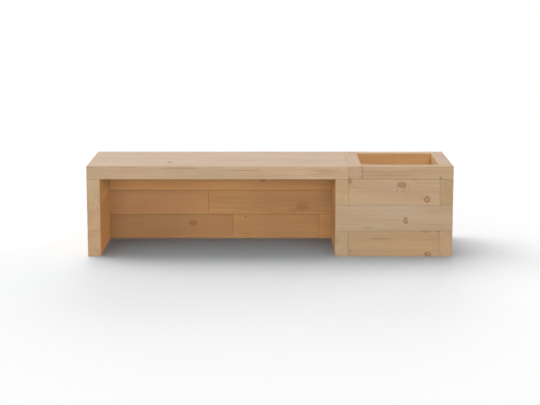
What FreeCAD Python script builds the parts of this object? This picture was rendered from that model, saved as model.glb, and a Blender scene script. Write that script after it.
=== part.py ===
import FreeCAD, Part
import os
from math import ceil

os.makedirs("parts", exist_ok=True)

# Bench with planter: stacked courses of planed softwood timber, all sizes in millimetres.
# X runs along the bench from the open end to the planter, Y from front to back, Z up.
# The origin is on the ground at the centre of the footprint.

# Overall sizes
bench_length = 1960.0
bench_depth = 560.0
planter_length = 630.0

# Timber sections
board_thickness = 70.0
board_height = 140.0
rail_height = 70.0
seat_plank_count = 3
arris = 1.5
butt_gap = 0.3

# Lengths of the back boards, counted from the side named
bottom_back_left_length = 700.0
bottom_back_centre_length = 490.0
middle_back_left_length = 630.0
middle_back_centre_length = 700.0

# The upper back joint lies this far past the seat side of the planter's mouth
upper_joint_past_rim = 70.0

# Dowels between the courses
dowel_diameter = 20.0
dowel_length = 80.0
dowel_chamfer = 2.0
dowel_clearance = 0.2
dowel_end_play = 1.5
dowel_edge = 35.0
dowel_spacing = 280.0
dowel_closest = 50.0

# Flat steel straps under the seat
strap_count = 2
strap_width = 40.0
strap_thickness = 5.0
strap_corner = 6.0
strap_front_inset = 35.0
strap_rear_inset = 10.0

# Planter floor
bearer_width = 45.0
bearer_height = 45.0
bearer_ground_gap = 35.0
bearer_end_gap = 2.0
slat_count = 6
slat_thickness = 22.0
slat_end_gap = 3.0
drainage_gap = 10.0

# Countersunk wood screws
screw_diameter = 5.0
screw_head_diameter = 9.6
screw_tip_length = 7.0
screw_clearance = 0.15
screw_socket_width = 3.4
screw_socket_depth = 1.8
strap_screw_length = 50.0
bearer_screw_length = 90.0
slat_screw_length = 50.0

# Faces that the pieces line up with
left = -bench_length / 2
right = bench_length / 2
front = -bench_depth / 2
back = bench_depth / 2
end_inside = left + board_thickness
planter_outside = right - planter_length
planter_inside = planter_outside + board_thickness
right_inside = right - board_thickness
front_inside = front + board_thickness
back_inside = back - board_thickness
seat_end = planter_inside
rim_inside = seat_end + board_thickness

# Levels of the courses
middle_level = board_height
upper_level = 2 * board_height
seat_underside = 3 * board_height
seat_plank_width = (bench_depth - 2 * board_thickness) / seat_plank_count

X_AXIS = FreeCAD.Vector(1, 0, 0)
Y_AXIS = FreeCAD.Vector(0, 1, 0)
Z_AXIS = FreeCAD.Vector(0, 0, 1)
UP = FreeCAD.Vector(0, 0, 1)
DOWN = FreeCAD.Vector(0, 0, -1)
FORWARD = FreeCAD.Vector(0, -1, 0)
BACKWARD = FreeCAD.Vector(0, 1, 0)


def eased_box(x0, x1, y0, y1, z0, z1):
    """A planed piece of timber with its edges eased."""
    box = Part.makeBox(x1 - x0, y1 - y0, z1 - z0, FreeCAD.Vector(x0, y0, z0))
    return box.makeChamfer(arris, box.Edges)


def back_boards(prefix, names, x0, x1, joints):
    """The boards of the back wall of one course, end to end from x0 to x1."""
    starts = [x0] + [joint + butt_gap / 2 for joint in joints]
    stops = [joint - butt_gap / 2 for joint in joints] + [x1]
    return {
        f"{prefix}_back_board_{name}": (start, stop, back_inside, back)
        for name, start, stop in zip(names, starts, stops)
    }


def through_side_course(prefix, names, joints):
    """A course whose side boards run through to the front and the back face."""
    boards = {
        f"{prefix}_end_board": (left, end_inside, front, back),
        f"{prefix}_planter_left_board": (planter_outside, planter_inside, front, back_inside - butt_gap),
        f"{prefix}_planter_front_board": (
            planter_inside + butt_gap, right_inside - butt_gap, front, front_inside),
        f"{prefix}_planter_right_board": (right_inside, right, front, back),
    }
    boards.update(back_boards(prefix, names, end_inside + butt_gap, right_inside - butt_gap, joints))
    return boards


def through_front_course(prefix, names, joints):
    """A course whose front and back boards run through to the ends."""
    boards = {
        f"{prefix}_end_board": (left, end_inside, front, back_inside - butt_gap),
        f"{prefix}_planter_left_board": (
            planter_outside, planter_inside, front_inside + butt_gap, back_inside - butt_gap),
        f"{prefix}_planter_front_board": (planter_outside, right, front, front_inside),
        f"{prefix}_planter_right_board": (
            right_inside, right, front_inside + butt_gap, back_inside - butt_gap),
    }
    boards.update(back_boards(prefix, names, left, right, joints))
    return boards


def top_course():
    """The seat rails and planks, and the four rails of the planter's rim."""
    boards = {
        "seat_front_rail": (left, seat_end - butt_gap, front, front_inside),
        "seat_back_rail": (left, seat_end - butt_gap, back_inside, back),
        "planter_left_rail": (seat_end, rim_inside, front, back),
        "planter_front_rail": (rim_inside + butt_gap, right, front, front_inside),
        "planter_back_rail": (rim_inside + butt_gap, right, back_inside, back),
        "planter_right_rail": (right_inside, right, front_inside + butt_gap, back_inside - butt_gap),
    }
    for number in range(seat_plank_count):
        y0 = front_inside + number * seat_plank_width
        boards[f"seat_plank_{number + 1}"] = (left, seat_end - butt_gap, y0, y0 + seat_plank_width)
    return boards


def shared_area(lower, upper):
    """The footprint that two boards of neighbouring courses share, or None."""
    x0, x1 = max(lower[0], upper[0]), min(lower[1], upper[1])
    y0, y1 = max(lower[2], upper[2]), min(lower[3], upper[3])
    if min(x1 - x0, y1 - y0) < 2 * dowel_diameter:
        return None
    return x0, x1, y0, y1


def spread(start, stop):
    """Dowel places along a shared length: one in a corner, otherwise evenly spaced."""
    reach = stop - start - 2 * dowel_edge
    if reach < dowel_closest:
        return [(start + stop) / 2]
    gaps = ceil(reach / dowel_spacing)
    return [start + dowel_edge + reach * step / gaps for step in range(gaps + 1)]


def dowel_places(lower_course, upper_course):
    """Dowel centres for every pair of boards that lie on each other."""
    places = []
    for lower in lower_course.values():
        for upper in upper_course.values():
            area = shared_area(lower, upper)
            if area is None:
                continue
            x0, x1, y0, y1 = area
            if x1 - x0 > y1 - y0:
                places += [(x, (y0 + y1) / 2) for x in spread(x0, x1)]
            else:
                places += [((x0 + x1) / 2, y) for y in spread(y0, y1)]
    return places


def dowel(x, y, level):
    """A plain round dowel, half in each course, with chamfered ends."""
    rod = Part.makeCylinder(dowel_diameter / 2, dowel_length, FreeCAD.Vector(x, y, level - dowel_length / 2))
    rims = [edge for edge in rod.Edges if isinstance(edge.Curve, Part.Circle)]
    return rod.makeChamfer(dowel_chamfer, rims)


def dowel_hole(x, y, level, direction):
    """The blind hole for one half of a dowel, drilled up or down from a joint."""
    radius = dowel_diameter / 2 + dowel_clearance
    depth = dowel_length / 2 + dowel_end_play
    return Part.makeCylinder(radius, depth, FreeCAD.Vector(x, y, level), direction)


def turned(points, place, direction):
    """A solid of revolution from (radius, depth) points, its depth measured along direction."""
    corners = [FreeCAD.Vector(radius, 0, depth) for radius, depth in points]
    face = Part.Face(Part.makePolygon(corners + corners[:1]))
    solid = face.revolve(FreeCAD.Vector(), Z_AXIS, 360)
    solid.Placement = FreeCAD.Placement(place, FreeCAD.Rotation(Z_AXIS, direction))
    return solid


def screw_outline(length, clearance):
    """Radius and depth of a countersunk screw, or of its hole if there is a clearance."""
    shank = screw_diameter / 2 + clearance
    head = screw_head_diameter / 2 + clearance
    cone = (screw_head_diameter - screw_diameter) / 2
    return [
        (0, 0), (head, 0), (shank, cone), (shank, length - screw_tip_length + clearance), (0, length + clearance),
    ]


def screw(place, direction, length):
    """A countersunk wood screw with its head's face at place, driven along direction."""
    body = turned(screw_outline(length, 0), place, direction)
    corners = [
        FreeCAD.Rotation(Z_AXIS, 60 * turn).multVec(FreeCAD.Vector(screw_socket_width / 2, 0, 0))
        for turn in range(7)
    ]
    socket = Part.Face(Part.makePolygon(corners)).extrude(Z_AXIS * screw_socket_depth)
    socket.Placement = FreeCAD.Placement(place, FreeCAD.Rotation(Z_AXIS, direction))
    return body.cut(socket)


def screw_hole(place, direction, length):
    """The hole for a screw through everything along its length."""
    return turned(screw_outline(length, screw_clearance), place, direction)


def strap_lines():
    """The X places of the straps, evenly spaced over the clear span of the seat."""
    span = planter_outside - end_inside
    return [end_inside + span * (number + 1) / (strap_count + 1) for number in range(strap_count)]


def strap_screw_places(x):
    """One screw in the front rail and two in each seat plank, from below."""
    rail_y = (front + strap_front_inset + front_inside) / 2
    plank_ys = [
        front_inside + seat_plank_width * (number + share)
        for number in range(seat_plank_count)
        for share in (0.25, 0.75)
    ]
    level = seat_underside - strap_thickness
    return [FreeCAD.Vector(x, y, level) for y in [rail_y] + plank_ys]


def strap(x):
    """A flat steel strap with rounded corners and countersunk holes."""
    y0 = front + strap_front_inset
    y1 = back_inside - strap_rear_inset
    corner = FreeCAD.Vector(x - strap_width / 2, y0, seat_underside - strap_thickness)
    plate = Part.makeBox(strap_width, y1 - y0, strap_thickness, corner)
    uprights = [edge for edge in plate.Edges if abs(edge.tangentAt(edge.FirstParameter).z) > 0.5]
    plate = plate.makeFillet(strap_corner, uprights)
    return plate.cut([screw_hole(place, UP, strap_screw_length) for place in strap_screw_places(x)])


def slat_lines():
    """The X range of each floor slat, with a drainage gap beside each one."""
    clear = right_inside - planter_inside
    width = (clear - (slat_count + 1) * drainage_gap) / slat_count
    starts = [planter_inside + drainage_gap + number * (width + drainage_gap) for number in range(slat_count)]
    return [(start, start + width) for start in starts]


def bearer_screw_places():
    """Screws through the bearers into the walls, in line with the gaps between the slats."""
    level = bearer_ground_gap + bearer_height / 2
    places = []
    for x0, x1 in slat_lines()[:-1]:
        x = x1 + drainage_gap / 2
        places.append((FreeCAD.Vector(x, front_inside + bearer_width, level), FORWARD))
        places.append((FreeCAD.Vector(x, back_inside - bearer_width, level), BACKWARD))
    return places


def slat_screw_places(x0, x1):
    """Two screws through each end of a slat into the bearer below."""
    level = bearer_ground_gap + bearer_height + slat_thickness
    rows = (front_inside + bearer_width / 2, back_inside - bearer_width / 2)
    return [
        FreeCAD.Vector(x0 + (x1 - x0) * share, y, level)
        for share in (0.25, 0.75)
        for y in rows
    ]


def save(name, shape):
    """Writes one node."""
    shape.exportStep(f"parts/{name}.step")


# The four courses from the ground up, as footprints
bottom_joints = [end_inside + bottom_back_left_length]
bottom_joints.append(bottom_joints[0] + bottom_back_centre_length)
middle_joints = [left + middle_back_left_length]
middle_joints.append(middle_joints[0] + middle_back_centre_length)
upper_joints = [rim_inside + upper_joint_past_rim]
three = ("left", "centre", "right")
two = ("left", "right")
courses = [
    (0.0, board_height, through_side_course("bottom", three, bottom_joints)),
    (middle_level, board_height, through_front_course("middle", three, middle_joints)),
    (upper_level, board_height, through_side_course("upper", two, upper_joints)),
    (seat_underside, rail_height, top_course()),
]

# Dowels join each course to the one above it
dowel_names = ("bottom_to_middle_dowels", "middle_to_upper_dowels", "upper_to_top_dowels")
drillings = {name: [] for level, height, boards in courses for name in boards}
for number, node in enumerate(dowel_names):
    lower_course = courses[number][2]
    level, height, upper_course = courses[number + 1]
    places = dowel_places(lower_course, upper_course)
    save(node, Part.makeCompound([dowel(x, y, level) for x, y in places]))
    for x, y in places:
        for boards, direction in ((lower_course, DOWN), (upper_course, UP)):
            for name, (x0, x1, y0, y1) in boards.items():
                if x0 < x < x1 and y0 < y < y1:
                    drillings[name].append(dowel_hole(x, y, level, direction))

# Straps under the seat and their screws
strap_screws = []
seat_nodes = ["seat_front_rail"] + [f"seat_plank_{number + 1}" for number in range(seat_plank_count)]
for number, x in enumerate(strap_lines()):
    save(f"seat_strap_{number + 1}", strap(x))
    for place in strap_screw_places(x):
        strap_screws.append(screw(place, UP, strap_screw_length))
        for name in seat_nodes:
            x0, x1, y0, y1 = courses[3][2][name]
            if y0 < place.y < y1:
                drillings[name].append(screw_hole(place, UP, strap_screw_length))
save("strap_screws", Part.makeCompound(strap_screws))

# Bearers on the planter's front and back walls
bearer_screws = []
bearer_drillings = []
for place, direction in bearer_screw_places():
    bearer_screws.append(screw(place, direction, bearer_screw_length))
    hole = screw_hole(place, direction, bearer_screw_length)
    bearer_drillings.append(hole)
    wall_y = front_inside - butt_gap if direction == FORWARD else back_inside + butt_gap
    for name, (x0, x1, y0, y1) in courses[0][2].items():
        if x0 - screw_diameter < place.x < x1 + screw_diameter and y0 < wall_y < y1:
            drillings[name].append(hole)
save("bearer_screws", Part.makeCompound(bearer_screws))

# Floor slats on the bearers
slat_screws = []
for number, (x0, x1) in enumerate(slat_lines()):
    z0 = bearer_ground_gap + bearer_height
    slat = eased_box(x0, x1, front_inside + slat_end_gap, back_inside - slat_end_gap, z0, z0 + slat_thickness)
    places = slat_screw_places(x0, x1)
    holes = [screw_hole(place, DOWN, slat_screw_length) for place in places]
    save(f"floor_slat_{number + 1}", slat.cut(holes))
    slat_screws += [screw(place, DOWN, slat_screw_length) for place in places]
    bearer_drillings += holes
save("slat_screws", Part.makeCompound(slat_screws))

bearer_rows = {
    "front_floor_bearer": (front_inside, front_inside + bearer_width),
    "back_floor_bearer": (back_inside - bearer_width, back_inside),
}
for name, (y0, y1) in bearer_rows.items():
    bearer = eased_box(
        planter_inside + bearer_end_gap, right_inside - bearer_end_gap, y0, y1,
        bearer_ground_gap, bearer_ground_gap + bearer_height)
    save(name, bearer.cut(bearer_drillings))

# The boards themselves, drilled for everything that enters them
for level, height, boards in courses:
    for name, (x0, x1, y0, y1) in boards.items():
        board = eased_box(x0, x1, y0, y1, level, level + height)
        if drillings[name]:
            board = board.cut(drillings[name])
        save(name, board)
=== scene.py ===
from math import atan2, cos, prod, radians, sin, tau
from random import Random

import bmesh
import bpy
from mathutils import Matrix, Vector


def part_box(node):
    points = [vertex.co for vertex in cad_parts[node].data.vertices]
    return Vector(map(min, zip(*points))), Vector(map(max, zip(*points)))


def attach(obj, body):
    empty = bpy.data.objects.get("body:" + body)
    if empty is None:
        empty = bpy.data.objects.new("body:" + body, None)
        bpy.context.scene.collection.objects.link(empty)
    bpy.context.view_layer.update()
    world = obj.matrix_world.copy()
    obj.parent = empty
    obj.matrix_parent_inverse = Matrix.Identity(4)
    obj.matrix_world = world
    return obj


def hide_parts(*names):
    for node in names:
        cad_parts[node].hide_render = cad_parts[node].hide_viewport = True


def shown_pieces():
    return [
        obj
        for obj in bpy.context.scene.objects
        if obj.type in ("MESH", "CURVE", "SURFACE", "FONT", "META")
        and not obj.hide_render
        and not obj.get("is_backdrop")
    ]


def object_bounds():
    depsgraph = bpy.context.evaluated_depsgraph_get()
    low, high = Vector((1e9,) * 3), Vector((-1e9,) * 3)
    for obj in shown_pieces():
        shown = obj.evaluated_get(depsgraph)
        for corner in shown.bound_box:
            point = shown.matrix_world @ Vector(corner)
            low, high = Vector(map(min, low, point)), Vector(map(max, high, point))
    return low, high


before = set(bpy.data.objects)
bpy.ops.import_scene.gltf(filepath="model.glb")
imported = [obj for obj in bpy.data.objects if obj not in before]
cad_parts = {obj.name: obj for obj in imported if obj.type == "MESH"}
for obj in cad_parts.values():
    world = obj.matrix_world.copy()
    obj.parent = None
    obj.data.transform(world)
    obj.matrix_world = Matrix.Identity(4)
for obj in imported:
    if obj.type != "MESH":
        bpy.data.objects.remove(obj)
cad_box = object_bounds()


# The bottom course: planed softwood timbers, 70 by 140 mm, laid on edge straight on the ground.
# The two sides of the planter and the open end run through to the front, and show their end grain there.
# Faces under the seat and in the planter get honey tones apart from the outside faces' plain tone: painted
# shade in a deeper honey, and painted light in a paler one.
left_end, front, ground = cad_box[0]
right_end, back, bench_top = cad_box[1]
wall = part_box("bottom_back_board_left")[0].y  # the inner face of the back wall
seat_hollow = (
    Vector((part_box("bottom_end_board")[1].x, front, ground)),
    Vector((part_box("bottom_planter_left_board")[0].x, wall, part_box("seat_front_rail")[0].z)))
planter_hollow = (
    Vector((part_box("bottom_planter_left_board")[1].x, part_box("bottom_planter_front_board")[1].y, ground)),
    Vector((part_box("bottom_planter_right_board")[0].x, wall, bench_top)))
arris = 0.0015
arris_round = 0.0006
merge_distance = 0.00001
flat_angle = radians(0.5)
sharp_angle = radians(30)
# The outside faces' plain tone, and the honey tones that are painted light and shade on faces in the hollows
open_face_tone = (0.49, 0.347, 0.215)
painted_shade_honey_tone = (0.57, 0.285, 0.105)
painted_light_honey_tone = (0.815, 0.386, 0.146)
plain_and_painted_shade_tones = (open_face_tone, painted_shade_honey_tone)  # of outside faces, of sheltered ones
plain_and_painted_light_tones = (open_face_tone, painted_light_honey_tone)
chance = Random(21)


def add(tree, kind, inputs=None, **settings):
    """Adds a shader node with its settings, and sets or links its inputs."""
    made = tree.nodes.new("ShaderNode" + kind)
    for name, value in settings.items():
        setattr(made, name, value)
    for name, value in (inputs or {}).items():
        if isinstance(value, bpy.types.NodeSocket):
            tree.links.new(value, made.inputs[name])
        else:
            made.inputs[name].default_value = value
    return made


def reckon(tree, operation, first, second=0.0):
    """A sum, product or the like of two numbers or sockets."""
    return add(tree, "Math", {0: first, 1: second}, operation=operation).outputs[0]


def reckon_vector(tree, operation, first, second):
    """A sum, product or the like of two vectors or sockets."""
    return add(tree, "VectorMath", {0: first, 1: second}, operation=operation).outputs[0]


def length_of(tree, vector):
    """How long a vector is."""
    return add(tree, "VectorMath", {0: vector}, operation="LENGTH").outputs["Value"]


def speckle(tree, place, scale, detail=2.0, roughness=0.5, output=0):
    """Noise with so many waves to the metre along each axis."""
    inputs = {"Vector": reckon_vector(tree, "MULTIPLY", place, scale), "Scale": 1.0, "Detail": detail,
              "Roughness": roughness}
    return add(tree, "TexNoise", inputs).outputs[output]


def waver(tree, number, scale):
    """Noise with so many waves to each 1 that a number grows by."""
    inputs = {"W": reckon(tree, "MULTIPLY", number, scale), "Scale": 1.0}
    return add(tree, "TexNoise", inputs, noise_dimensions="1D").outputs[0]


def wobbled(tree, place, noise_place, scale, reach):
    """A place pushed about by noise, up to half the reach along each axis either way."""
    noise = speckle(tree, noise_place, scale, output="Color")
    centred = reckon_vector(tree, "SUBTRACT", noise, (0.5, 0.5, 0.5))
    return reckon_vector(tree, "ADD", place, reckon_vector(tree, "MULTIPLY", centred, reach))


def between(tree, value, start, stop, low=0.0, high=1.0):
    """A smooth step from low to high while the value goes from start to stop."""
    inputs = {"Value": value, "From Min": start, "From Max": stop, "To Min": low, "To Max": high}
    return add(tree, "MapRange", inputs, interpolation_type="SMOOTHSTEP").outputs["Result"]


def tinted(tree, share, plain, changed, kind="MIX", label=""):
    """Two colours mixed by a share, or the second multiplied onto the first."""
    inputs = {0: share, 6: plain, 7: changed}
    return add(tree, "Mix", inputs, data_type="RGBA", blend_type=kind, label=label).outputs[2]


def weighed(tree, start, parts):
    """A start with each part added by its own weight."""
    for value, weight in parts:
        start = reckon(tree, "ADD", start, reckon(tree, "MULTIPLY", value, weight))
    return start


def new_material(name, metallic=0.0):
    """A material, its node tree, and the object coordinates that its pattern follows."""
    material = bpy.data.materials.new(name)
    material.use_nodes = True
    tree = material.node_tree
    tree.nodes["Principled BSDF"].inputs["Metallic"].default_value = metallic
    return material, tree, add(tree, "TexCoord").outputs["Object"]


def coat(tree, colour, roughness, height, bump_strength, bump_depth):
    """Links a material's colour, roughness and bump to its shader."""
    bump = add(tree, "Bump", {"Strength": bump_strength, "Distance": bump_depth, "Height": height})
    for name, value in (("Base Color", colour), ("Roughness", roughness), ("Normal", bump.outputs[0])):
        tree.links.new(value, tree.nodes["Principled BSDF"].inputs[name])


def face_value(tree, name):
    """What timber() told each face: whether it takes the hollows' painted light and shade, is end grain or is
    an arris.
    """
    return add(tree, "Attribute", attribute_name=name).outputs["Fac"]


def late_wood(tree, swayed, knot):
    """The dark late wood in each year's ring. Rings bend round a knot, and no two years grew alike."""
    ring_gap = 0.0034
    bend_round_knot = 0.011
    bend_start, bend_end = 0.7, 3.4  # in the knot's radii
    uneven_waves, uneven_years = 70.0, 2.4  # to the metre, and how far out a ring may be
    darkening, darkest, winter, next_spring = 0.35, 0.9, 0.94, 1.0  # shares of a year
    palest_year = 0.35
    radius = length_of(tree, reckon_vector(tree, "MULTIPLY", swayed, (0, 1, 1)))
    bend = between(tree, knot, bend_start, bend_end, low=bend_round_knot, high=0.0)
    radius = reckon(tree, "ADD", radius, bend)
    uneven = reckon(tree, "MULTIPLY", waver(tree, radius, uneven_waves), uneven_years)
    years = reckon(tree, "ADD", reckon(tree, "DIVIDE", radius, ring_gap), uneven)
    season = reckon(tree, "FRACT", years)
    until_winter = between(tree, season, next_spring, winter)
    late = reckon(tree, "MULTIPLY", between(tree, season, darkening, darkest), until_winter)
    year = {"W": reckon(tree, "FLOOR", years)}
    year_luck = add(tree, "TexWhiteNoise", year, noise_dimensions="1D").outputs[0]
    return reckon(tree, "MULTIPLY", late, between(tree, year_luck, 0.0, 1.0, low=palest_year))


def knot_shares(tree, knot, lucky):
    """A knot's face, its broken dark rim, the reddish wood round it, and the rings in its face."""
    face_edge, face_full = 1.06, 0.94  # in the knot's radii, as the next two rows are
    rim_start, rim_full, rim_back, rim_edge = 0.60, 0.92, 0.98, 1.16
    halo_edge, halo_full = 2.1, 0.9
    ring_waves, ring_depth = 27.0, 0.28
    face = between(tree, knot, face_edge, face_full)
    rim = reckon(tree, "MULTIPLY", between(tree, knot, rim_start, rim_full),
                 between(tree, knot, rim_edge, rim_back))
    broken = between(tree, speckle(tree, lucky, (70, 90, 90)), 0.38, 0.58, low=0.35)
    halo = between(tree, knot, halo_edge, halo_full)
    wave = reckon(tree, "SINE", reckon(tree, "MULTIPLY", knot, ring_waves))
    rings = reckon(tree, "MULTIPLY", face, between(tree, wave, -1.0, 1.0, high=ring_depth))
    return face, reckon(tree, "MULTIPLY", rim, broken), halo, rings


def drying_cracks(tree, swayed, lucky, end_grain):
    """Fine cracks in the end grain, which run out from the pith where the noise is near its middle."""
    rays_per_radian = 46.0
    noise_middle = 0.5
    crack_edge, crack_full = 0.010, 0.003  # how far the noise is off its middle
    parts = add(tree, "SeparateXYZ", {0: swayed}).outputs
    ray = waver(tree, reckon(tree, "ARCTAN2", parts["Z"], parts["Y"]), rays_per_radian)
    off_middle = reckon(tree, "ABSOLUTE", reckon(tree, "SUBTRACT", ray, noise_middle))
    patch = between(tree, speckle(tree, lucky, (30, 30, 30)), 0.52, 0.60)
    crack = reckon(tree, "MULTIPLY", between(tree, off_middle, crack_edge, crack_full), patch)
    return reckon(tree, "MULTIPLY", crack, end_grain)


def softwood_grain():
    """Growth rings round a pith, fibres, resin canals, knots and streaks, as one group for every timber."""
    tree = bpy.data.node_groups.new("softwood grain", "ShaderNodeTree")
    for name, kind in (("From pith", "Vector"), ("Luck", "Vector"), ("Knot", "Float"), ("Streak", "Float"),
                       ("Tone", "Color")):
        tree.interface.new_socket(name, in_out="INPUT", socket_type=f"NodeSocket{kind}")
    for name, kind in (("Colour", "Color"), ("Roughness", "Float"), ("Height", "Float")):
        tree.interface.new_socket(name, in_out="OUTPUT", socket_type=f"NodeSocket{kind}")
    given = tree.nodes.new("NodeGroupInput").outputs
    lucky = reckon_vector(tree, "ADD", given["From pith"], given["Luck"])

    # The stem isn't straight, so its rings sway along the board
    swayed = wobbled(tree, given["From pith"], lucky, scale=(1.5, 7, 7), reach=(0, 0.022, 0.022))
    swayed = wobbled(tree, swayed, lucky, scale=(13, 60, 60), reach=(0, 0.0018, 0.0018))
    late = late_wood(tree, swayed, given["Knot"])

    # Fibres, the dark dashes of resin canals, and the slow drift of colour along the stem
    fibre = speckle(tree, lucky, (9, 420, 420), detail=3.0, roughness=0.65)
    canal = between(tree, speckle(tree, lucky, (34, 1300, 1300), detail=0.0), 0.70, 0.82)
    drift = speckle(tree, lucky, (1.7, 12, 12), detail=3.0)
    blush = speckle(tree, reckon_vector(tree, "MULTIPLY", lucky, (1, -1, 1)), (2.6, 8, 8))

    knot, rim, halo, knot_rings = knot_shares(tree, given["Knot"], lucky)
    end_grain = face_value(tree, "end_grain")
    crack = drying_cracks(tree, swayed, lucky, end_grain)
    rubbed = reckon(tree, "MULTIPLY", face_value(tree, "arris"), between(tree, fibre, 0.3, 0.7, low=0.3))

    # Each layer's share, and what it multiplies the tone by
    layers = {
        "late wood": (late, (0.80, 0.72, 0.62)),
        "fibres": (between(tree, fibre, 0.35, 0.68, high=0.5), (0.89, 0.86, 0.82)),
        "drift": (between(tree, drift, 0.34, 0.66), (0.90, 0.885, 0.86)),
        "blush": (between(tree, blush, 0.40, 0.64), (1.0, 0.955, 0.91)),
        "resin canals": (reckon(tree, "MULTIPLY", canal, 0.45), (0.62, 0.48, 0.34)),
        "wood round a knot": (reckon(tree, "MULTIPLY", halo, 0.25), (0.88, 0.80, 0.68)),
        "knot": (reckon(tree, "MULTIPLY", knot, 0.9), (0.78, 0.71, 0.62)),
        "rings of a knot": (knot_rings, (0.72, 0.62, 0.50)),
        "rim of a knot": (rim, (0.56, 0.47, 0.36)),
        "streak": (given["Streak"], (0.70, 0.61, 0.50)),
        "end grain": (end_grain, (0.97, 0.955, 0.93)),
        "cracks": (reckon(tree, "MULTIPLY", crack, 0.6), (0.45, 0.36, 0.28)),
        "rubbed arris": (rubbed, (1.07, 1.06, 1.05)),
    }
    colour = given["Tone"]
    for name, (share, shade) in layers.items():
        colour = tinted(tree, share, colour, (*shade, 1), "MULTIPLY", name)

    fibre_roughness = between(tree, fibre, 0.25, 0.75, low=0.50, high=0.62)
    roughness = weighed(tree, fibre_roughness, ((late, -0.06), (end_grain, 0.10)))
    late_height = reckon(tree, "MULTIPLY", late, 0.10)
    height = weighed(tree, late_height, ((fibre, 0.12), (rim, -0.16), (knot, 0.08), (crack, -0.5)))
    given_back = tree.nodes.new("NodeGroupOutput").inputs
    for name, value in (("Colour", colour), ("Roughness", roughness), ("Height", height)):
        tree.links.new(value, given_back[name])
    return tree


grain_group = softwood_grain()


def far_from(tree, place, spot, widths):
    """How far a point is from one mark, in that mark's own radii."""
    apart = reckon_vector(tree, "SUBTRACT", place, spot)
    return length_of(tree, reckon_vector(tree, "MULTIPLY", apart, tuple(2 / width for width in widths)))


def nearest_knot(tree, place, knots):
    """How far a point is from the nearest knot, in that knot's own radii."""
    out_of_reach = 9.0
    nearest = out_of_reach
    for spot, widths in knots:
        nearest = reckon(tree, "MINIMUM", far_from(tree, place, spot, widths), nearest)
    return nearest


def darkest_streak(tree, place, streaks):
    """How dark the streaks make a point. Each fades out from its core to its edge."""
    edge, core = 1.1, 0.6  # in the streak's radii
    darkest = 0.0
    for spot, widths, darkness in streaks:
        share = between(tree, far_from(tree, place, spot, widths), edge, core, high=darkness)
        darkest = reckon(tree, "MAXIMUM", share, darkest)
    return darkest


def multiplied(*colours):
    """The product of colours, channel by channel, as an opaque colour."""
    return (*(prod(channel) for channel in zip(*colours)), 1)


def softwood(node, pith, tint, tones=plain_and_painted_shade_tones, inner=(1.0, 1.0, 1.0), knots=(), streaks=()):
    """The material of one timber. A knot is its place and its widths, and a streak has a darkness too."""
    grain_tilt = (1, 0.5, 0.6)  # degrees about each axis, either way
    luck_range = 40
    low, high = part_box(node)
    centre, size = (low + high) / 2, high - low
    along_x = size.x > size.y
    pith_across, pith_above = pith
    pith_place = centre + Vector((0, pith_across, pith_above) if along_x else (pith_across, 0, pith_above))
    tilt_x, tilt_y, tilt_z = (chance.uniform(-most, most) for most in grain_tilt)
    turn = (radians(tilt_x), radians(tilt_y), radians((0.0 if along_x else 90.0) + tilt_z))
    luck = tuple(chance.uniform(-luck_range, luck_range) for axis in range(3))

    material, tree, place = new_material(f"softwood {node.replace('_', ' ')}")
    from_pith = add(tree, "Mapping", {"Vector": place, "Location": pith_place, "Rotation": turn},
                    vector_type="TEXTURE").outputs[0]
    ragged = wobbled(tree, place, place, scale=(90, 90, 90), reach=(0.012, 0.008, 0.006))
    # Faces in the hollows take the second tone and the inner tint, which paint light and shade there
    outside, hollow_light_and_shade = tones
    tone = tinted(tree, face_value(tree, "hollow_light_and_shade"), multiplied(outside, tint),
                  multiplied(hollow_light_and_shade, tint, inner))
    inputs = {"From pith": from_pith, "Luck": luck, "Knot": nearest_knot(tree, ragged, knots),
              "Streak": darkest_streak(tree, ragged, streaks), "Tone": tone}
    grain = add(tree, "Group", inputs, node_tree=grain_group).outputs
    coat(tree, grain["Colour"], grain["Roughness"], grain["Height"], bump_strength=0.45, bump_depth=0.001)
    return material


def in_hollow(point):
    """Whether a point is under the seat or inside the planter."""
    return any(all(low[axis] < point[axis] < high[axis] for axis in range(3))
               for low, high in (seat_hollow, planter_hollow))


def merged(node):
    """A CAD node's loose triangles, joined at their corners."""
    bm = bmesh.new()
    bm.from_mesh(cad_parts[node].data)
    bmesh.ops.remove_doubles(bm, verts=bm.verts, dist=merge_distance)
    return bm


def whole_faces(node):
    """A CAD node with each flat face in one piece."""
    bm = merged(node)
    bmesh.ops.dissolve_limit(bm, angle_limit=flat_angle, verts=bm.verts, edges=bm.edges)
    return bm


def stand_in(name, bm, node, material):
    """The piece that a finished mesh makes, in the place of its CAD node."""
    mesh = bpy.data.meshes.new(name)
    bm.normal_update()
    for face in bm.faces:
        face.smooth = True
    for edge in bm.edges:
        edge.smooth = edge.calc_face_angle(0.0) < sharp_angle
    bm.to_mesh(mesh)
    bm.free()
    mesh.materials.append(material)
    piece = bpy.data.objects.new(name, mesh)
    bpy.context.scene.collection.objects.link(piece)
    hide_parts(node)
    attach(piece, "root")
    return piece


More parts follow.
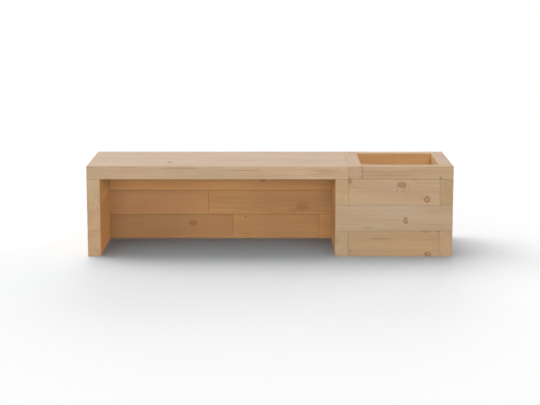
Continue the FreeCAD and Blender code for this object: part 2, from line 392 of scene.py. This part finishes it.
def timber(node, material):
    """A timber with its bores, its planed arrises rounded, and its faces told apart for end grain, arrises
    and the hollows' painted light and shade.
    """
    near_side = arris * 1.01
    just_outside = 0.01
    squarely, hardly_aslant = 0.8, 0.99  # sizes of a normal's part along an axis
    low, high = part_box(node)
    lengthways = 0 if high.x - low.x > high.y - low.y else 1
    bm = whole_faces(node)

    def sides_at(point):
        return sum(min(point[axis] - low[axis], high[axis] - point[axis]) < near_side for axis in range(3))

    edges = [edge for edge in bm.edges if all(sides_at(vert.co) >= 2 for vert in edge.verts)
             and len(edge.link_faces) == 2 and edge.calc_face_angle() > sharp_angle / 2]
    bmesh.ops.bevel(bm, geom=edges, offset=arris_round, segments=2, profile=0.5, affect="EDGES", material=-1)
    piece = stand_in(f"planed_{node}", bm, node, material)
    mesh = piece.data
    hollow_light_and_shade, end_grain, on_arris = (mesh.attributes.new(name, "FLOAT", "FACE").data
                                      for name in ("hollow_light_and_shade", "end_grain", "arris"))
    # Faces that look into the seat's or the planter's hollow are marked for painted light and shade
    for face in mesh.polygons:
        hollow_light_and_shade[face.index].value = float(in_hollow(face.center + face.normal * just_outside))
        end_grain[face.index].value = float(abs(face.normal[lengthways]) > squarely)
        on_arris[face.index].value = float(max(abs(part) for part in face.normal) < hardly_aslant)
    even = piece.modifiers.new("even shading", "WEIGHTED_NORMAL")
    even.keep_sharp = True


def lay(course):
    """Makes each timber of a course, in the order that they are listed."""
    for node, wood in course.items():
        timber(node, softwood(node, **wood))


# The end board and the planter's left board take the paler honey on faces in the hollows, as painted light,
# and the planter's left board is paled further by its inner tint. The back boards' inner tints are painted
# shade at the left end of the wall under the seat and painted light towards its right.
bottom_course = {
    "bottom_end_board": dict(
        pith=(0.05, -0.10), tint=(1.04, 1.0, 0.93), tones=plain_and_painted_light_tones,
        knots=[((left_end, 0.062, 0.052), (0.05, 0.030, 0.024))]),
    "bottom_planter_left_board": dict(
        pith=(-0.06, 0.12), tint=(0.917, 0.92, 0.916), tones=plain_and_painted_light_tones, inner=(1.0, 1.1, 1.2)),
    "bottom_planter_front_board": dict(
        pith=(0.04, -0.13), tint=(0.878, 0.825, 0.713),
        knots=[((0.8495, front, 0.012), (0.033, 0.08, 0.024)),
               ((0.905, front, 0.137), (0.010, 0.04, 0.009)),
               ((0.433, front, 0.030), (0.010, 0.04, 0.010))],
        streaks=[((0.835, front, 0.1355), (0.062, 0.08, 0.009), 0.8),
                 ((0.596, front, 0.097), (0.15, 0.08, 0.012), 0.7)]),
    "bottom_planter_right_board": dict(
        pith=(0.05, 0.11), tint=(0.95, 0.912, 0.89),
        knots=[((right_end, -0.120, 0.092), (0.05, 0.034, 0.026))]),
    "bottom_back_board_left": dict(
        pith=(0.10, -0.12), tint=(0.91, 0.91, 0.882), inner=(0.853, 0.851, 0.799),
        knots=[((-0.437, wall, 0.089), (0.038, 0.08, 0.026)),
               ((-0.702, back, 0.101), (0.036, 0.05, 0.026))]),
    "bottom_back_board_centre": dict(
        pith=(-0.10, -0.05), tint=(0.982, 0.998, 0.965), inner=(0.973, 0.996, 0.945),
        knots=[((-0.138, wall, 0.124), (0.014, 0.06, 0.012)),
               ((0.128, back, 0.046), (0.030, 0.05, 0.024))]),
    "bottom_back_board_right": dict(
        pith=(0.07, -0.11), tint=(1.039, 1.044, 1.004), inner=(1.056, 1.063, 1.006),
        knots=[((0.655, back, 0.088), (0.044, 0.05, 0.030)),
               ((0.402, back, 0.030), (0.016, 0.04, 0.012))]),
}
lay(bottom_course)


# The dowels: fluted beech rods, half in the board below and half in the one above, which hold the courses
# together with nothing showing. They are cut from turned rod, and chamfered to start in their holes.
dowel_radius = 0.010
dowel_length = 0.080
dowel_chamfer = 0.002
dowel_sides = 32
flute_share = 0.95
beech_tone = (0.60, 0.41, 0.25)
dark_beech_tone = (0.52, 0.34, 0.20)


def fluted_dowel():
    """One upright dowel about the origin, every other line of its side pressed in as a glue flute."""
    bm = bmesh.new()
    narrow = dowel_radius - dowel_chamfer
    wider = dowel_radius / narrow
    start = Matrix.Translation((0, 0, -dowel_length / 2))
    bmesh.ops.create_circle(bm, cap_ends=True, segments=dowel_sides, radius=narrow, matrix=start)
    top = bm.faces[:]
    steps = ((dowel_chamfer, wider), (dowel_length - 2 * dowel_chamfer, 1.0), (dowel_chamfer, 1 / wider))
    for rise, growth in steps:
        grown = bmesh.ops.extrude_face_region(bm, geom=top + top[0].edges[:])["geom"]
        ring = [item for item in grown if isinstance(item, bmesh.types.BMVert)]
        top = [item for item in grown if isinstance(item, bmesh.types.BMFace)]
        bmesh.ops.translate(bm, vec=(0, 0, rise), verts=ring)
        bmesh.ops.scale(bm, vec=(growth, growth, 1), verts=ring)
    flutes = [vert for vert in bm.verts if round(atan2(vert.co.y, vert.co.x) / tau * dowel_sides) % 2]
    bmesh.ops.scale(bm, vec=(flute_share, flute_share, 1), verts=flutes)
    bmesh.ops.recalc_face_normals(bm, faces=bm.faces)
    return bm


def loose_parts(node):
    """The low and high corners of each separate solid in a CAD node."""
    bm = merged(node)
    waiting, corners = set(bm.verts), []
    for vert in bm.verts:
        if vert not in waiting:
            continue
        waiting.remove(vert)
        reached = [vert]
        for found in reached:
            beside = [edge.other_vert(found) for edge in found.link_edges]
            reached += [other for other in beside if other in waiting]
            waiting.difference_update(beside)
        corners.append(tuple(Vector(pick(other.co[axis] for other in reached) for axis in range(3))
                             for pick in (min, max)))
    bm.free()
    return corners


def copies(shape, places):
    """One mesh with a copy of a shape at each place, and the shape let go."""
    mesh = bpy.data.meshes.new("pattern")
    shape.to_mesh(mesh)
    shape.free()
    bm = bmesh.new()
    for place in places:
        already = len(bm.verts)
        bm.from_mesh(mesh)
        bm.verts.ensure_lookup_table()
        bmesh.ops.transform(bm, matrix=place, verts=bm.verts[already:])
    bpy.data.meshes.remove(mesh)
    return bm


def fluted_beech():
    """Beech with straight fibres and small dark flecks, all upright."""
    material, tree, place = new_material("fluted beech")
    rod = between(tree, speckle(tree, place, (23, 23, 3)), 0.3, 0.7)
    fleck = between(tree, speckle(tree, place, (900, 900, 210), detail=1.0), 0.58, 0.72)
    fibre = speckle(tree, place, (1500, 1500, 30))
    fleck_share = reckon(tree, "MULTIPLY", fleck, 0.6)
    fibre_share = between(tree, fibre, 0.35, 0.65, high=0.6)
    colour = tinted(tree, rod, (*beech_tone, 1), (*dark_beech_tone, 1))
    colour = tinted(tree, fleck_share, colour, (0.66, 0.52, 0.42, 1), "MULTIPLY", "flecks")
    colour = tinted(tree, fibre_share, colour, (0.88, 0.85, 0.81, 1), "MULTIPLY", "fibres")
    roughness = between(tree, fibre, 0.3, 0.7, low=0.52, high=0.66)
    height = reckon(tree, "SUBTRACT", fibre, fleck)
    coat(tree, colour, roughness, height, bump_strength=0.4, bump_depth=0.0003)
    return material


beech = fluted_beech()
for node in ("bottom_to_middle_dowels", "middle_to_upper_dowels", "upper_to_top_dowels"):
    places = [Matrix.Translation((low + high) / 2) for low, high in loose_parts(node)]
    stand_in(f"fluted_{node}", copies(fluted_dowel(), places), node, beech)


# The middle course: the same timbers on edge, with their joints clear of those in the bottom course.
# Its front and back boards run through to the ends, so the corners interlock from course to course.
# The end board and the planter's left and front boards take the paler honey on faces in the hollows, as
# painted light, and the planter's left board is paled further by its inner tint. The back boards' inner tints
# darken the wall under the seat a little, as painted shade.
middle_course = {
    "middle_end_board": dict(
        pith=(-0.05, 0.10), tint=(1.045, 1.035, 1.005), tones=plain_and_painted_light_tones,
        knots=[((left_end, -0.134, 0.226), (0.05, 0.040, 0.026)),
               ((left_end, 0.090, 0.176), (0.04, 0.016, 0.012))]),
    "middle_planter_left_board": dict(
        pith=(0.05, -0.10), tint=(0.98, 0.98, 0.97), tones=plain_and_painted_light_tones, inner=(1.05, 1.15, 1.25)),
    "middle_planter_front_board": dict(
        pith=(-0.09, -0.12), tint=(0.93, 0.97, 1.02), tones=plain_and_painted_light_tones,
        knots=[((0.728, front, 0.196), (0.021, 0.08, 0.034))],
        streaks=[((0.52, front, 0.156), (0.09, 0.08, 0.010), 0.6)]),
    "middle_planter_right_board": dict(
        pith=(-0.06, -0.12), tint=(1.0, 0.99, 0.98),
        knots=[((right_end, 0.072, 0.205), (0.05, 0.028, 0.020)),
               ((right_end, -0.170, 0.262), (0.04, 0.014, 0.014))]),
    "middle_back_board_left": dict(
        pith=(0.08, 0.10), tint=(0.98, 0.982, 0.972), inner=(0.969, 0.973, 0.957),
        knots=[((-0.585, back, 0.236), (0.026, 0.05, 0.020)),
               ((-0.846, back, 0.178), (0.038, 0.05, 0.028))],
        streaks=[((-0.43, wall, 0.193), (0.004, 0.04, 0.035), 1.0)]),
    "middle_back_board_centre": dict(
        pith=(0.12, -0.04), tint=(0.985, 0.985, 0.945), inner=(0.978, 0.977, 0.912),
        knots=[((-0.060, back, 0.192), (0.034, 0.05, 0.024))],
        streaks=[((0.184, wall, 0.1885), (0.086, 0.10, 0.060), 0.6)]),
    "middle_back_board_right": dict(
        pith=(-0.08, 0.12), tint=(0.99, 0.98, 0.97),
        knots=[((0.756, back, 0.222), (0.028, 0.05, 0.030))]),
}
lay(middle_course)


# The upper course: laid as the bottom one is, with its end board and the planter's sides run through.
# A single long board makes the wall behind the seat, and the joint at its end is behind the planter.
# The end board and the planter's left board take the paler honey on faces in the hollows, as painted light,
# and the planter's left board is paled further by its inner tint. The left back board's inner tint is painted
# light where the seat's front rail shades the top of the wall.
upper_course = {
    "upper_end_board": dict(
        pith=(0.06, 0.09), tint=(1.07, 1.11, 1.09), tones=plain_and_painted_light_tones,
        knots=[((left_end, 0.155, 0.334), (0.05, 0.026, 0.030))]),
    "upper_planter_left_board": dict(
        pith=(-0.05, -0.11), tint=(1.055, 1.05, 0.985), tones=plain_and_painted_light_tones, inner=(1.05, 1.15, 1.25)),
    "upper_planter_front_board": dict(
        pith=(0.10, 0.06), tint=(0.975, 0.965, 0.94),
        knots=[((0.704, front, 0.3905), (0.043, 0.08, 0.029)),
               ((0.840, front, 0.3114), (0.032, 0.08, 0.034)),
               ((0.428, front, 0.409), (0.016, 0.06, 0.022))]),
    "upper_planter_right_board": dict(
        pith=(0.05, -0.10), tint=(0.928, 0.928, 0.834),
        knots=[((right_end, -0.045, 0.372), (0.05, 0.042, 0.028))]),
    "upper_back_board_left": dict(
        pith=(0.09, -0.10), tint=(1.084, 1.076, 1.028), inner=(1.116, 1.106, 1.041),
        knots=[((-0.043, wall, 0.336), (0.028, 0.06, 0.012)),
               ((-0.388, back, 0.352), (0.040, 0.05, 0.024)),
               ((0.176, back, 0.318), (0.020, 0.05, 0.016))]),
    "upper_back_board_right": dict(
        pith=(-0.10, 0.05), tint=(1.0, 0.98, 0.98),
        knots=[((0.560, back, 0.366), (0.032, 0.05, 0.022))]),
}
lay(upper_course)


# The seat: a front and a back rail, 70 by 70 mm, with three planks of 140 by 70 mm laid flat between them.
# They are planed flush, so the seat looks like one slab, and blind dowels fix them to the walls below.
# The planks' bluish tint is painted sheen: it pales the seat's top as a grazing reflection does
plank_painted_sheen_tint = (1.0, 1.01, 1.115)
seat = {
    "seat_front_rail": dict(
        pith=(0.09, 0.05), tint=(1.03, 1.04, 1.055),
        streaks=[((-0.48, front, 0.481), (0.23, 0.05, 0.006), 0.8),
                 ((-0.155, front, 0.4684), (0.25, 0.05, 0.005), 0.8),
                 ((0.30, front, 0.4700), (0.20, 0.05, 0.005), 0.8),
                 ((0.31, front, 0.4590), (0.15, 0.05, 0.005), 0.8),
                 ((0.27, front, 0.4480), (0.17, 0.05, 0.005), 0.8)]),
    "seat_plank_1": dict(
        pith=(0.05, -0.14), tint=plank_painted_sheen_tint,
        knots=[((-0.544, -0.119, bench_top), (0.028, 0.05, 0.012))]),
    "seat_plank_2": dict(pith=(-0.10, -0.10), tint=plank_painted_sheen_tint),
    "seat_plank_3": dict(pith=(0.04, 0.13), tint=plank_painted_sheen_tint),
    "seat_back_rail": dict(pith=(-0.07, -0.08), tint=(1.015, 1.05, 1.06)),
}
lay(seat)


# The straps: flat galvanised bars under the seat, which hold its planks level with its front rail. They
# are sheared from strip, drilled and countersunk, and their edges are just broken with a file.
file_break = 0.0003
square_edge = radians(80)
spangles_per_metre = 150.0
dark_spangle = (0.42, 0.44, 0.46)
bright_spangle = (0.62, 0.64, 0.66)
dulled_zinc = (0.58, 0.59, 0.59)


def spangled_zinc():
    """A hot-dipped zinc coat: crystals of uneven brightness, dull patches and fine lengthwise rubbing."""
    material, tree, place = new_material("spangled zinc coat", metallic=1.0)
    waves = speckle(tree, place, (90, 90, 90), output="Color")
    wavy = reckon_vector(tree, "ADD", place, reckon_vector(tree, "MULTIPLY", waves, (0.004, 0.004, 0.004)))
    crystal = add(tree, "TexVoronoi", {"Vector": wavy, "Scale": spangles_per_metre}).outputs["Color"]
    crystal = add(tree, "SeparateColor", {0: crystal}).outputs[0]
    dull = between(tree, speckle(tree, place, (35, 35, 35), detail=3.0), 0.50, 0.66)
    rubbing = speckle(tree, place, (40, 1400, 900))
    colour = tinted(tree, crystal, (*dark_spangle, 1), (*bright_spangle, 1))
    dull_share = reckon(tree, "MULTIPLY", dull, 0.6)
    colour = tinted(tree, dull_share, colour, (*dulled_zinc, 1), label="dull patches")
    crystal_roughness = between(tree, crystal, 0.0, 1.0, low=0.30, high=0.46)
    roughness = weighed(tree, crystal_roughness, ((dull, 0.18),))
    height = weighed(tree, rubbing, ((crystal, 0.5),))
    coat(tree, colour, roughness, height, bump_strength=0.25, bump_depth=0.0002)
    return material


galvanised = spangled_zinc()
for node in ("seat_strap_1", "seat_strap_2"):
    bm = whole_faces(node)
    edges = [edge for edge in bm.edges if edge.calc_face_angle(0.0) > square_edge]
    bmesh.ops.bevel(bm, geom=edges, offset=file_break, segments=2, profile=0.5, affect="EDGES", material=-1)
    stand_in(f"galvanised_{node}", bm, node, galvanised)


# The screws: countersunk wood screws with a hexagon socket and a plain neck above the thread. They are
# cold-headed wire with a rolled thread, zinc plated. The first ones go up through the straps.
head_radius = 0.0048
head_depth = 0.0023
head_face_radius = 0.0019
head_edge = 0.0002
neck_radius = 0.0025
neck_share = 0.4
neck_taper = 0.001
core_radius = 0.0016
tip_length = 0.007
screw_sides = 24
screw_merge_distance = 0.000001
socket_sides = 6
socket_radius = 0.0017
socket_depth = 0.0018
thread_pitch = 0.0028
thread_sides = 12
thread_start = 0.0015  # below the neck
thread_margin = 0.002  # kept free between neck and tip, the start included
thread_root = 0.0001  # how deep its foot is sunk in the core
thread_upper_flank = 0.0005
thread_lower_flank = 0.0006
short_screw = 0.050
long_screw = 0.090
zinc_tone = (0.60, 0.62, 0.64)
yellowed_zinc_tone = (0.66, 0.62, 0.52)
turning = Random(5)


def sink_socket(bm, mouth):
    """A hexagon sunk in the head, its mouth joined to the edges round the opening."""
    place = Matrix.Translation((0, 0, -socket_depth))
    hexagon = bmesh.ops.create_circle(bm, cap_ends=True, segments=socket_sides, radius=socket_radius,
                                      matrix=place)
    floor = hexagon["verts"][0].link_faces[0]
    bmesh.ops.subdivide_edges(bm, edges=floor.edges[:], cuts=screw_sides // socket_sides - 1)
    walls = bmesh.ops.extrude_edge_only(bm, edges=floor.edges[:])["geom"]
    raised = [item for item in walls if isinstance(item, bmesh.types.BMVert)]
    brim = [item for item in walls if isinstance(item, bmesh.types.BMEdge)]
    bmesh.ops.translate(bm, vec=(0, 0, socket_depth), verts=raised)
    bmesh.ops.bridge_loops(bm, edges=mouth + brim)
    bmesh.ops.recalc_face_normals(bm, faces=bm.faces)


def wind_thread(bm, plain, length):
    """A ridge that winds down the core to the tip."""
    turns = int((length - plain - thread_margin - tip_length) / thread_pitch)
    steps = turns * thread_sides
    start = -plain - thread_start
    foot = core_radius - thread_root
    ridge = [bm.verts.new((x, 0.0, start + z)) for x, z in
             ((foot, thread_upper_flank), (neck_radius, 0.0), (foot, -thread_lower_flank))]
    already = len(bm.faces)
    section = bm.faces.new(ridge)
    bmesh.ops.spin(bm, geom=[section], axis=(0, 0, 1), dvec=(0, 0, -thread_pitch * turns / steps),
                   angle=tau * turns, steps=steps)
    bm.faces.ensure_lookup_table()
    bmesh.ops.recalc_face_normals(bm, faces=bm.faces[already:])


def wood_screw(length):
    """One screw pointing down from its head's face at the origin."""
    bm = bmesh.new()
    plain = length * neck_share
    outline = [(head_face_radius, 0.0), (head_radius - head_edge, 0.0), (head_radius, -head_edge),
               (head_radius, -2 * head_edge), (neck_radius, -head_depth), (neck_radius, -plain),
               (core_radius, -plain - neck_taper), (core_radius, tip_length - length), (0.0, -length)]
    verts = [bm.verts.new((x, 0.0, z)) for x, z in outline]
    edges = [bm.edges.new(pair) for pair in zip(verts, verts[1:])]
    bmesh.ops.spin(bm, geom=verts + edges, axis=(0, 0, 1), angle=tau, steps=screw_sides, use_merge=True)
    bmesh.ops.remove_doubles(bm, verts=bm.verts, dist=screw_merge_distance)
    sink_socket(bm, [edge for edge in bm.edges if edge.is_boundary])
    wind_thread(bm, plain, length)
    return bm


def zinc_plate():
    """Bright zinc, yellowed in clouds and gritty close up."""
    material, tree, place = new_material("zinc plate", metallic=1.0)
    cloud = speckle(tree, place, (160, 160, 160), detail=3.0)
    grit = speckle(tree, place, (2600, 2600, 2600))
    colour = tinted(tree, between(tree, cloud, 0.35, 0.65), (*zinc_tone, 1), (*yellowed_zinc_tone, 1))
    grit_share = between(tree, grit, 0.60, 0.78, high=0.6)
    colour = tinted(tree, grit_share, colour, (0.52, 0.50, 0.46, 1), "MULTIPLY", "grit")
    roughness = between(tree, cloud, 0.3, 0.7, low=0.28, high=0.44)
    coat(tree, colour, roughness, grit, bump_strength=0.2, bump_depth=0.0001)
    return material


zinc = zinc_plate()


def drive(node, length, heading):
    """Screws for the places in a CAD node, each turned about its own axis by chance."""
    places = []
    for low, high in loose_parts(node):
        middle = (low + high) / 2
        along = Vector(heading(middle))
        turn = Vector((0, 0, -1)).rotation_difference(along).to_matrix().to_4x4()
        spin = Matrix.Rotation(turning.uniform(0, tau), 4, "Z")
        places.append(Matrix.Translation(middle - along * length / 2) @ turn @ spin)
    stand_in(f"threaded_{node}", copies(wood_screw(length), places), node, zinc)


drive("strap_screws", short_screw, lambda middle: (0, 0, 1))


# The planter's rim: four rails of 70 by 70 mm round its mouth, butted at the corners and dowelled to the
# walls. The first has the full depth and closes the end of the seat. Their inner faces take a pale honey,
# which is painted light inside the planter's mouth.
rim_painted_light_tones = (open_face_tone, (0.82, 0.453, 0.182))
right_rail_painted_light_tones = (open_face_tone, (0.667, 0.413, 0.187))
rim = {
    "planter_left_rail": dict(
        pith=(0.06, -0.07), tint=(1.0, 0.965, 1.0), tones=rim_painted_light_tones,
        knots=[((0.4225, front, 0.4235), (0.014, 0.03, 0.016))]),
    "planter_front_rail": dict(
        pith=(0.08, 0.04), tint=(0.921, 0.917, 0.878), tones=rim_painted_light_tones,
        knots=[((0.911, front, 0.4245), (0.013, 0.03, 0.019))],
        # A painted shadow: a dark line at the front rail's left end, down the joint with the left rail
        streaks=[((0.4915, front, 0.455), (0.011, 0.05, 0.10), 0.6)]),
    "planter_back_rail": dict(pith=(-0.09, -0.04), tint=(1.0, 1.0, 1.0), tones=rim_painted_light_tones),
    # Its bluish tint is painted sheen on its top, and its inner faces' pale honey is painted light.
    "planter_right_rail": dict(pith=(-0.07, 0.06), tint=(0.975, 0.985, 1.12), tones=right_rail_painted_light_tones),
}
lay(rim)


# The planter's floor: two bearers, 45 by 45 mm, on its front and back walls, and six slats of 22 mm laid
# across them with gaps to drain. It is softwood too, darker all over because it stays damp.
damp_tone = (0.36, 0.22, 0.12)
slat_count = 6
floor_nodes = ["front_floor_bearer", "back_floor_bearer"]
floor_nodes += [f"floor_slat_{number}" for number in range(1, slat_count + 1)]
for node in floor_nodes:
    pith = (chance.uniform(-0.05, 0.05), chance.uniform(0.05, 0.10))
    wood = softwood(node, pith, tint=(1.0, 1.0, 1.0), tones=(damp_tone, damp_tone))
    timber(node, wood)


# The planter's screws: the same zinc-plated wood screws as in the straps. Long ones hold the bearers to
# the front and back walls, and shorter ones hold the slats down on the bearers.
drive("bearer_screws", long_screw, lambda middle: (0, 1 if middle.y > 0 else -1, 0))
drive("slat_screws", short_screw, lambda middle: (0, 0, -1))


# The studio: a pale floor that keeps the shadow, and an even white surround. Broad suns stand in for soft
# boxes, some for the bench and some for the floor: a key from the back left, low fills in front, and one
# that reaches into the planter. Only the key's light bounces, so little of the wood's colour gets about.
floor_size = 400.0
white = (1.0, 1.0, 1.0)
floor_bounce = (0.8, 0.8, 0.8)
surround_strength = 0.2


def seen_share(tree):
    """1 for what the camera, a reflection or clear glass sees, and 0 for light on its way."""
    rays = add(tree, "LightPath").outputs
    mirrored = reckon(tree, "MAXIMUM", rays["Is Glossy Ray"], rays["Is Transmission Ray"])
    return reckon(tree, "MAXIMUM", rays["Is Camera Ray"], mirrored)


def floor_paint():
    """Matt paint that looks white, and gives a little less light back to the bench."""
    material = bpy.data.materials.new("floor paint")
    material.use_nodes = True
    tree = material.node_tree
    tree.nodes.clear()
    colour = tinted(tree, seen_share(tree), (*floor_bounce, 1), (*white, 1))
    paint = add(tree, "BsdfDiffuse", {"Color": colour})
    add(tree, "OutputMaterial", {"Surface": paint.outputs[0]})
    return material


def white_surround():
    """A world that is white to look at, and lights the bench with only a part of that."""
    world = bpy.data.worlds.new("white surround")
    world.use_nodes = True
    tree = world.node_tree
    seen_extra = reckon(tree, "MULTIPLY", seen_share(tree), 1 - surround_strength)
    backdrop = tree.nodes["Background"]
    backdrop.inputs["Color"].default_value = (*white, 1)
    tree.links.new(reckon(tree, "ADD", surround_strength, seen_extra), backdrop.inputs["Strength"])
    return world


bm = bmesh.new()
bmesh.ops.create_grid(bm, x_segments=1, y_segments=1, size=floor_size / 2)
floor_mesh = bpy.data.meshes.new("studio_floor")
bm.to_mesh(floor_mesh)
bm.free()
floor_mesh.materials.append(floor_paint())
studio_floor = bpy.data.objects.new("studio_floor", floor_mesh)
bpy.context.scene.collection.objects.link(studio_floor)
studio_floor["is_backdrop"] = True
bpy.context.scene.world = white_surround()

bench, back_rail, others, stage = (bpy.data.collections.new(name)
                                   for name in ("bench", "back rail", "others", "stage"))
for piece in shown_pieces():
    bench.objects.link(piece)
    (back_rail if piece.name == "planed_planter_back_rail" else others).objects.link(piece)
stage.objects.link(studio_floor)

# Azimuth from the front, elevation, width of the disc, strength, tint, what it lights, bounces
lamps = {
    "key": (225, 50, 60, 0.955, white, bench, 12),
    "straight fill": (0, 0, 30, 0.542, white, others, 0),
    "left fill": (-50, 0, 30, 0.936, white, others, 0),
    "right fill": (50, 0, 30, 1.019, white, others, 0),
    "planter fill": (0, 22, 24, 0.45, white, back_rail, 0),
    "rear fill": (120, 5, 30, 0.8, white, bench, 0),
    "low floor light": (180, 10, 30, 0.813, (0.931, 0.965, 1.0), stage, 0),
    "right floor light": (135, 10, 30, 0.314, (1.0, 0.898, 0.831), stage, 0),
    "high floor light": (225, 50, 60, 0.57, (1.0, 0.972, 0.961), stage, 0),
    "side floor light": (270, 20, 100, 0.251, (1.0, 0.976, 0.98), stage, 0),
    "front floor light": (0, 30, 60, 0.198, (0.747, 0.924, 1.0), stage, 0),
}
for name, (azimuth, elevation, spread, strength, tint, receivers, bounces) in lamps.items():
    lamp = bpy.data.lights.new(name, "SUN")
    lamp.energy = strength * tau / 2
    lamp.color = tint
    lamp.angle = radians(spread)
    lamp.cycles.max_bounces = bounces
    lamp.cycles.use_multiple_importance_sampling = bounces > 0
    stand = bpy.data.objects.new(name, lamp)
    bpy.context.scene.collection.objects.link(stand)
    round_bench, above = radians(azimuth), radians(elevation)
    from_bench = Vector((sin(round_bench) * cos(above), -cos(round_bench) * cos(above), sin(above)))
    stand.rotation_mode = "QUATERNION"
    stand.rotation_quaternion = from_bench.to_track_quat("Z", "Y")
    stand.light_linking.receiver_collection = receivers

bpy.context.scene.view_settings.view_transform = "Standard"


# The camera: it stands in front of the middle of the bench, a little above its seat, with a long lens.
# Its height, distance and tilt are those at which the bench's corners lie where the photograph has them.
view = bpy.data.cameras.new("camera")
view.lens = 99.2
view.sensor_width = 36.0
view.clip_end = 500.0
camera = bpy.data.objects.new("camera", view)
camera.location = (0.0, -8.12, 1.693)
camera.rotation_euler = (radians(79.89), 0.0, 0.0)
bpy.context.scene.collection.objects.link(camera)
bpy.context.scene.camera = camera
